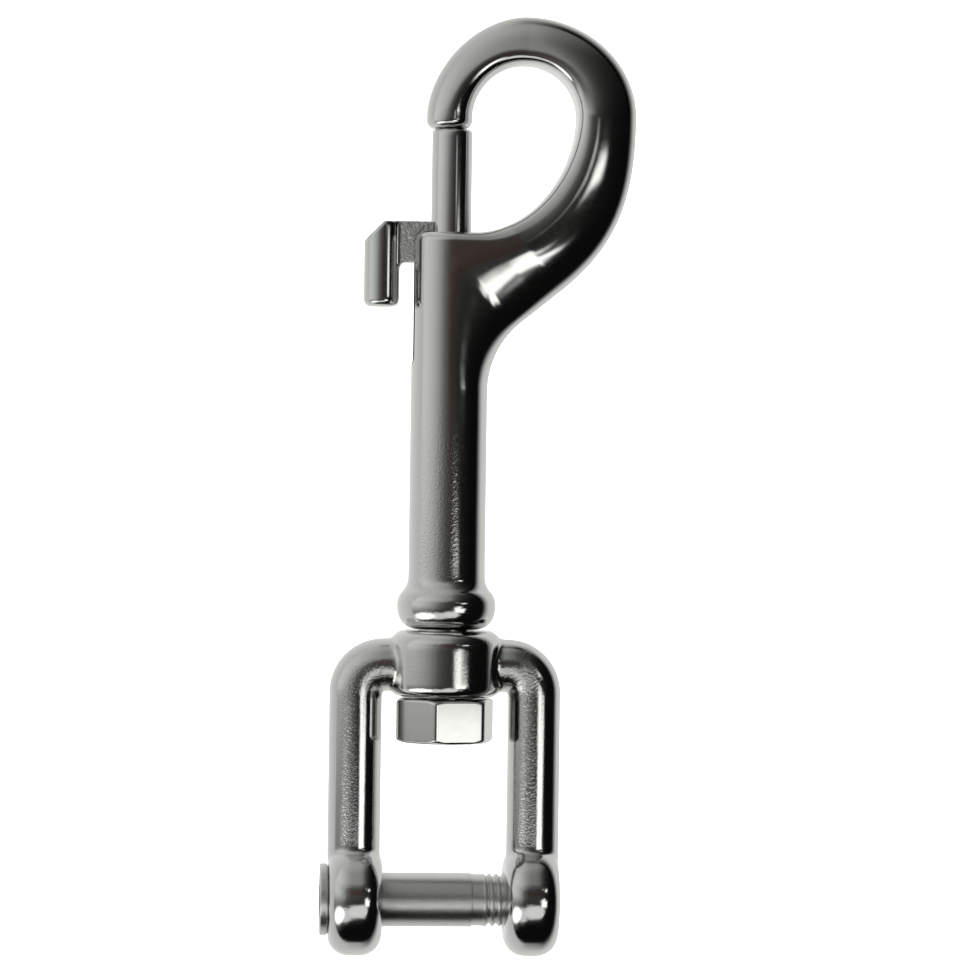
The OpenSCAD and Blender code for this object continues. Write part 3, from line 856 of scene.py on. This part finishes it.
# %% Turning marks
rings_tree, rings_in, rings_out = group_tree(
    "turning_marks", [("Along X", 0.0), ("Pitch", 0.06)], ["Height"]
)
where = in_millimetres(rings_tree)
parts = add(rings_tree, "ShaderNodeSeparateXYZ", (-500, 0))
rings_tree.links.new(where, parts.inputs[0])
along_x = maths(rings_tree, "MULTIPLY", parts.outputs["X"], rings_in.outputs["Along X"])
rest = maths(rings_tree, "SUBTRACT", 1.0, rings_in.outputs["Along X"])
along = maths(rings_tree, "ADD", along_x, maths(rings_tree, "MULTIPLY", parts.outputs["Y"], rest))
strip = add(rings_tree, "ShaderNodeTexNoise", (-200, 0), noise_dimensions="1D")
per_pitch = maths(rings_tree, "DIVIDE", along, rings_in.outputs["Pitch"])
rings_tree.links.new(per_pitch, strip.inputs["W"])
strip.inputs["Scale"].default_value = 1.0
strip.inputs["Detail"].default_value = 2.0
rings_tree.links.new(strip.outputs[0], rings_out.inputs["Height"])
print("Turning marks ready")

# %% [markdown]
# ### Metals
# All eight pieces are the same steel, so one function makes every metal: the
# Principled shader, a roughness that drifts a little, and the two groups as
# bumps. Only the shine, the texture and the place of the texture differ. The
# pin is brushed along its length, so its gloss is drawn out by anisotropy.


# %% Metals
CLOUD_SCALE = 0.9  # drifts of the roughness to a millimetre
# How dark the painted shade in the pits is, and how much of it is laid on
PAINTED_PIT_SHADE, PAINTED_PIT_SHADE_STRENGTH = 0.45, 0.25
QUARTER_TURN = 0.25  # draws the gloss out along the axis instead of round it


def metal(
    name, colour, roughness, spread, peel=0.0, wave=0.0, size=0.5,
    peel_mask=None, marks=0.0, along_x=0.0, rougher=0.0, brushed=0.0,
):
    """A polished steel with its own colour, roughness, peel and turning marks.

    spread is how far the roughness drifts. peel, wave and marks are heights in
    millimetres, and size is the peel's. peel_mask takes the tree and the
    separated coordinates in millimetres, and returns where the peel shows.
    There the metal is rougher, and shade is painted into its pits by darkening the colour."""
    material = bpy.data.materials.new(name)
    material.use_nodes = True
    tree = material.node_tree
    shader = tree.nodes["Principled BSDF"]
    shader.inputs["Metallic"].default_value = 1.0
    shader.inputs["Base Color"].default_value = (*colour, 1)
    where = in_millimetres(tree)
    texture = add(tree, "ShaderNodeGroup", (-400, -200), node_tree=peel_tree)
    texture.inputs["Size"].default_value = size
    texture.inputs["Waviness"].default_value = wave
    texture.inputs["Peel"].default_value = peel
    cloud = noise(tree, where, CLOUD_SCALE, 3.0, 0.6)
    shine = maths(tree, "MULTIPLY_ADD", cloud, spread, roughness)
    if peel_mask is not None:
        parts = add(tree, "ShaderNodeSeparateXYZ", (-600, 0))
        tree.links.new(where, parts.inputs[0])
        mask = peel_mask(tree, parts)
        tree.links.new(maths(tree, "MULTIPLY", mask, peel), texture.inputs["Peel"])
        shine = maths(tree, "MULTIPLY_ADD", mask, rougher, shine)
        # Painted shade: inside the pits the colour is darkened
        tint = add(tree, "ShaderNodeMix", (-200, 200), data_type="RGBA")
        tint.inputs["A"].default_value = (*colour, 1)
        tint.inputs["B"].default_value = (*[c * PAINTED_PIT_SHADE for c in colour], 1)
        painted_pit_shade = maths(tree, "MULTIPLY", texture.outputs["Pit_shade"], mask)
        tree.links.new(maths(tree, "MULTIPLY", painted_pit_shade, PAINTED_PIT_SHADE_STRENGTH), tint.inputs["Factor"])
        tree.links.new(tint.outputs["Result"], shader.inputs["Base Color"])
    tree.links.new(shine, shader.inputs["Roughness"])
    height = texture.outputs["Height"]
    if marks:
        rings = add(tree, "ShaderNodeGroup", (-400, 100), node_tree=rings_tree)
        rings.inputs["Along X"].default_value = along_x
        height = maths(tree, "MULTIPLY_ADD", rings.outputs["Height"], marks, height)
    bump = add(tree, "ShaderNodeBump", (-200, -200))
    bump.inputs["Strength"].default_value = 1.0
    bump.inputs["Distance"].default_value = MM
    tree.links.new(height, bump.inputs["Height"])
    tree.links.new(bump.outputs[0], shader.inputs["Normal"])
    if brushed:
        round_it = add(
            tree, "ShaderNodeTangent", (-200, -400), direction_type="RADIAL", axis="X"
        )
        tree.links.new(round_it.outputs[0], shader.inputs["Tangent"])
        shader.inputs["Anisotropic"].default_value = brushed
        shader.inputs["Anisotropic Rotation"].default_value = QUARTER_TURN
    return material


print("One function for every metal")

# %% [markdown]
# ### Where the grain stays
# A polisher reaches the bow and the ears easily, and the corners under the
# shoulders hardly at all. Each mask is a few smooth steps along X and Y in
# millimetres. Painting the masks by hand would need a UV map, and these follow
# the piece when its sizes change.


# %% Masks of the grain
# Each mask also says where shade is painted into the pits.
def lower_barrel(tree, parts):
    """The grain stays on the barrel's lower half, on its front and left."""
    most = ramp(tree, parts.outputs["Y"], 60.0, 48.0, 0.05, 1.0)
    front = ramp(tree, parts.outputs["X"], 1.25, 0.35, 0.02, 1.0)
    near_bead = ramp(tree, parts.outputs["Y"], 33.0, 37.0, 0.4, 1.0)
    return maths(tree, "MULTIPLY", maths(tree, "MULTIPLY", most, front), near_bead)


def off_the_ears(tree, parts):
    """The grain stays on a strip down each leg, with a trace of it round the
    legs and hub, and in the corners under the shoulders."""
    x, y = parts.outputs["X"], parts.outputs["Y"]
    left, right = window(tree, x, -11.4, -10.1, 0.5), window(tree, x, 8.4, 9.8, 0.5)
    strips = maths(tree, "ADD", maths(tree, "ADD", left, right), 0.15)
    above_ears = ramp(tree, y, 5.0, 7.5, 0.2, 1.0)
    legs = maths(tree, "MULTIPLY", above_ears, strips)
    beside_hub = window(tree, maths(tree, "ABSOLUTE", x), 5.8, 9.8, 1.2)
    under_shoulder = window(tree, y, 23.4, 26.6, 1.2)
    return maths(tree, "MULTIPLY_ADD", beside_hub, under_shoulder, legs)


def on_the_arm(tree, parts):
    """The lever's thumb piece is polished, while its arm is as cast."""
    return ramp(tree, parts.outputs["X"], -5.9, -5.5)


print("Masks ready")

# %% The eight finishes
STEEL = (0.64, 0.645, 0.63)
WIRE = (0.68, 0.68, 0.67)
hook_metal = metal(
    "hook_polish", STEEL, 0.1, 0.06, peel=0.033, wave=0.02, size=0.27,
    peel_mask=lower_barrel, rougher=0.04,
)
fork_metal = metal(
    "fork_polish", STEEL, 0.11, 0.06, peel=0.045, wave=0.015, size=0.23,
    peel_mask=off_the_ears, rougher=0.02,
)
lever_metal = metal(
    "lever_polish", STEEL, 0.12, 0.06, peel=0.2, wave=0.01, size=0.34, peel_mask=on_the_arm
)
bolt_metal = metal("bolt_turned", STEEL, 0.1, 0.04, wave=0.01, marks=0.0008)
pin_metal = metal(
    "pin_turned", STEEL, 0.4, 0.1, peel=0.012, wave=0.01, size=0.25,
    marks=0.002, along_x=1.0, brushed=0.85,
)
nut_metal = metal("nut_turned", STEEL, 0.12, 0.05, wave=0.006, marks=0.0004)
wire_metal = metal("wire_drawn", WIRE, 0.25, 0.05, marks=0.001)

wearing = [
    (hook, hook_metal), (fork, fork_metal), (lever, lever_metal), (bolt, bolt_metal),
    (stud, nut_metal), (nut, nut_metal), (pin, pin_metal), (spring, wire_metal),
]
for piece, material in wearing:
    piece.data.materials.clear()
    piece.data.materials.append(material)
print(len(wearing), "pieces wear their metals")

# %% [markdown]
# ## Studio
# The hook lies on a white floor. Polished metal shows what stands round it
# more than what lights it, so the studio is a dome that only reflections see:
# a pale wall on the left, a dark room on the right, a white table behind, and
# a few soft lamps. Its radius is 200 mm. At that distance, a lamp moves along
# the hook from bead to bow as it does in the photograph, while with a sky,
# which is endlessly far away, the barrel and the bow would both want the same
# lamp in two places.

# %% [markdown]
# ### Floor
# The paper under a small product is usually lit until it comes out pure white.
# Raising the lamp would also brighten the metal, so the paper glows a little
# by itself. It is left out of reflections, where the dome's table takes over.

# %% Floor
floor_z = min(low(node, 2) for node in nodes) - 0.05
FLOOR = 3000.0
PAPER_GLOW = 0.6
corners = [(x * FLOOR, y * FLOOR, floor_z) for x, y in ((-1, -1), (1, -1), (1, 1), (-1, 1))]
floor = new_piece("floor", corners, [(0, 1, 2, 3)])
floor.visible_glossy = False
paper = bpy.data.materials.new("white_paper")
paper.use_nodes = True
surface = paper.node_tree.nodes["Principled BSDF"]
surface.inputs["Base Color"].default_value = (0.92, 0.92, 0.92, 1)
surface.inputs["Roughness"].default_value = 0.9
surface.inputs["Emission Color"].default_value = (1, 1, 1, 1)
surface.inputs["Emission Strength"].default_value = PAPER_GLOW
floor.data.materials.append(paper)
print(f"Floor at {floor_z:.2f} mm")

# %% [markdown]
# ### Dome
# The dome is a sphere round the middle of the hook. Its surface is named by
# two angles: the azimuth goes from straight ahead of the hook to the right,
# and the rise goes up towards the bow. What glows where is a sum of ramps on
# these angles. Area lamps could do the same, but each has hard edges, and the
# soft fall of light is most of what the photograph's metal shows.

# %% Dome
DOME = 200.0
bpy.ops.mesh.primitive_uv_sphere_add(segments=64, ring_count=32, radius=1.0)
dome = bpy.context.object
dome.name = "studio_dome"
dome.location = AIM * MM
dome.scale = (DOME * MM,) * 3
dome.visible_camera = False
dome.visible_diffuse = False
dome.visible_shadow = False
dome.visible_transmission = False

glow = bpy.data.materials.new("studio_glow")
glow.use_nodes = True
tree = glow.node_tree
tree.nodes.clear()
place = add(tree, "ShaderNodeTexCoord", (-1200, 0))
parts = add(tree, "ShaderNodeSeparateXYZ", (-1000, 0))
tree.links.new(place.outputs["Object"], parts.inputs[0])
x, y, z = (parts.outputs[name] for name in "XYZ")
azimuth = maths(tree, "DEGREES", maths(tree, "ARCTAN2", x, z))
rising = maths(tree, "DEGREES", maths(tree, "ARCSINE", y))


def lamp(az_low, az_high, low_rise, high_rise, strength, soft_az, soft_rise):
    """A soft-edged lamp between two azimuths and two heights, in degrees."""
    across = window(tree, azimuth, az_low, az_high, soft_az)
    upward = window(tree, rising, low_rise, high_rise, soft_rise)
    return maths(tree, "MULTIPLY", maths(tree, "MULTIPLY", across, upward), strength)


def oval_lamp(az_mid, mid_rise, half_wide, half_high, strength):
    """A soft-edged oval lamp: 1 well inside the ellipse, falling to 0 at its edge."""
    across = maths(tree, "DIVIDE", maths(tree, "SUBTRACT", azimuth, az_mid), half_wide)
    upward = maths(tree, "DIVIDE", maths(tree, "SUBTRACT", rising, mid_rise), half_high)
    out = maths(tree, "MULTIPLY_ADD", across, across, maths(tree, "MULTIPLY", upward, upward))
    return ramp(tree, out, 0.45, 1.0, strength, 0.0)


def brightest(parts):
    """The largest of several values."""
    most = parts[0]
    for part in parts[1:]:
        most = maths(tree, "MAXIMUM", most, part)
    return most


print(f"Dome of {DOME:.0f} mm radius")

# %% [markdown]
# ### Wall
# The wall on the left gives the metal its pale side. It is brightest at its
# far left, and its light fades into the dark room by an exponential. Low down
# it ends far on the left, and above the hook it reaches past the middle, so
# its end is mixed from two places by how high up the reflection looks.


# %% Wall
def mixed(factor, low_value, high_value):
    """low_value where factor is 0, and high_value where it is 1."""
    return maths(tree, "MULTIPLY_ADD", factor, high_value - low_value, low_value)


# Each pair of numbers holds low down and high up
WALL_END, WALL_SLOPE = (-0.34, 0.10), (0.95, 0.52)
SPILL, SPILL_REACH = (0.17, 0.27), (0.35, 0.20)
DARKEST = 0.004
high_up = ramp(tree, rising, 10.0, 30.0)
past = maths(tree, "SUBTRACT", mixed(high_up, *WALL_END), x)
lit = maths(tree, "MULTIPLY", maths(tree, "MAXIMUM", past, 0.0), mixed(high_up, *WALL_SLOPE))
fall = maths(tree, "DIVIDE", maths(tree, "MINIMUM", past, 0.0), mixed(high_up, *SPILL_REACH))
spill = maths(tree, "MULTIPLY", maths(tree, "EXPONENT", fall), mixed(high_up, *SPILL))
wall = maths(tree, "ADD", lit, spill)
for start, end, share in ((-20.0, 0.0, 0.33), (-60.0, -40.0, 0.05)):
    wall = maths(tree, "MULTIPLY", wall, ramp(tree, rising, start, end, share, 1.0))
wall = maths(tree, "ADD", wall, ramp(tree, rising, 50.0, 75.0, 0.0, 0.12))
room = maths(tree, "MAXIMUM", wall, DARKEST)
print("Wall and room ready")

# %% [markdown]
# ### Table
# The sides of every round bar reflect what is behind the hook: the white table
# it lies on. That gives the pale rim all round the outline. The table is a
# little darker on the right, away from the wall.

# %% Table
depth = maths(tree, "MULTIPLY", z, -1.0)
near_side = maths(tree, "MULTIPLY_ADD", depth, 0.3, 0.62)
far_side = maths(tree, "MULTIPLY", ramp(tree, depth, -0.02, 0.5), 0.8)
side = ramp(tree, x, -0.25, 0.35)
table = maths(tree, "MULTIPLY_ADD", side, maths(tree, "SUBTRACT", far_side, near_side), near_side)
horizon = maths(tree, "SUBTRACT", z, ramp(tree, rising, 6.0, 24.0, 0.0, 0.1))
is_table = ramp(tree, horizon, 0.03, -0.05)
print("Table ready")

# %% [markdown]
# ### Soft lamps
# Each highlight in the photograph is the picture of a lamp. The direction that
# the metal reflects at the highlight says where on the dome its lamp has to
# be, and a few overlapping soft windows give the patch its uneven shape. The
# comments name the highlight that each one makes.

# %% Soft lamps
lamps = brightest([
    lamp(31, 44, 7.8, 12.0, 1.8, 4.0, 1.6),  # spot on the bow's outer side
    lamp(19, 26, 13.0, 16.6, 0.6, 2.5, 1.0),  # line down the bolt
    lamp(14, 29, -12, -6.9, 1.6, 4.0, 1.2),  # hub, bead and the arm's web
    lamp(15, 38, -21, -11.0, 1.8, 4.0, 1.6),  # lines down the legs
    lamp(30, 41, -13.5, -9.8, 1.7, 3.0, 0.8),  # front face of the nut
    lamp(21, 32, -8, -4.4, 1.2, 3.0, 1.0),  # upper right of the web's patch
    lamp(15, 30, -34, -24, 0.5, 4.0, 3.0),  # right spots of the ears
    oval_lamp(-60, -33.5, 36, 15, 1.8),  # left spots of the ears and the bead
    oval_lamp(-26, -36, 32, 16, 0.8),  # dim patch between them
    oval_lamp(6, -31, 24, 15, 0.9),  # band along the pin
])
print("Lamps placed")

# %% [markdown]
# ### Glow of the dome
# Wall, table and lamps become one brightness. All of it is nearly white, apart
# from a warm patch straight ahead, where a dark red-brown shows in the metal.

# %% Glow

brightness = maths(tree, "MULTIPLY_ADD", is_table, maths(tree, "SUBTRACT", table, room), room)
brightness = maths(tree, "MAXIMUM", brightness, lamps)
tint = add(tree, "ShaderNodeMix", (0, 200), data_type="RGBA")
tint.inputs["A"].default_value = (1.0, 1.0, 0.97, 1)  # nearly white
tint.inputs["B"].default_value = (1.0, 0.6, 0.5, 1)  # warm
warm = maths(tree, "MULTIPLY", window(tree, azimuth, -8, 9, 5), window(tree, rising, 1, 12, 3))
tree.links.new(maths(tree, "MULTIPLY", warm, 0.9), tint.inputs["Factor"])
emission = add(tree, "ShaderNodeEmission", (200, 0))
tree.links.new(tint.outputs["Result"], emission.inputs["Color"])
tree.links.new(brightness, emission.inputs["Strength"])
output = add(tree, "ShaderNodeOutputMaterial", (400, 0))
tree.links.new(emission.outputs[0], output.inputs["Surface"])
dome.data.materials.append(glow)
print("Dome ready")

# %% [markdown]
# ### Light on the floor
# One large soft disk above lights the floor, and a pale sky fills its shadow.
# The metal doesn't show the disk. A small lamp would draw a hard shadow beside
# the hook, and the photograph has none.

# %% Overhead light and sky
ABOVE = 1.6  # metres over the floor, and also the disk's width
disk = bpy.data.lights.new("overhead", "AREA")
disk.shape, disk.size, disk.energy = "DISK", ABOVE, 60.0
overhead = bpy.data.objects.new("overhead", disk)
overhead.location = (AIM[0] * MM, AIM[1] * MM, ABOVE)
bpy.context.collection.objects.link(overhead)
overhead.visible_glossy = False

sky = bpy.data.worlds.new("sky")
bpy.context.scene.world = sky
sky.use_nodes = True
sky.node_tree.nodes["Background"].inputs["Color"].default_value = (1, 1, 1, 1)
sky.node_tree.nodes["Background"].inputs["Strength"].default_value = 0.9
print("Lit")
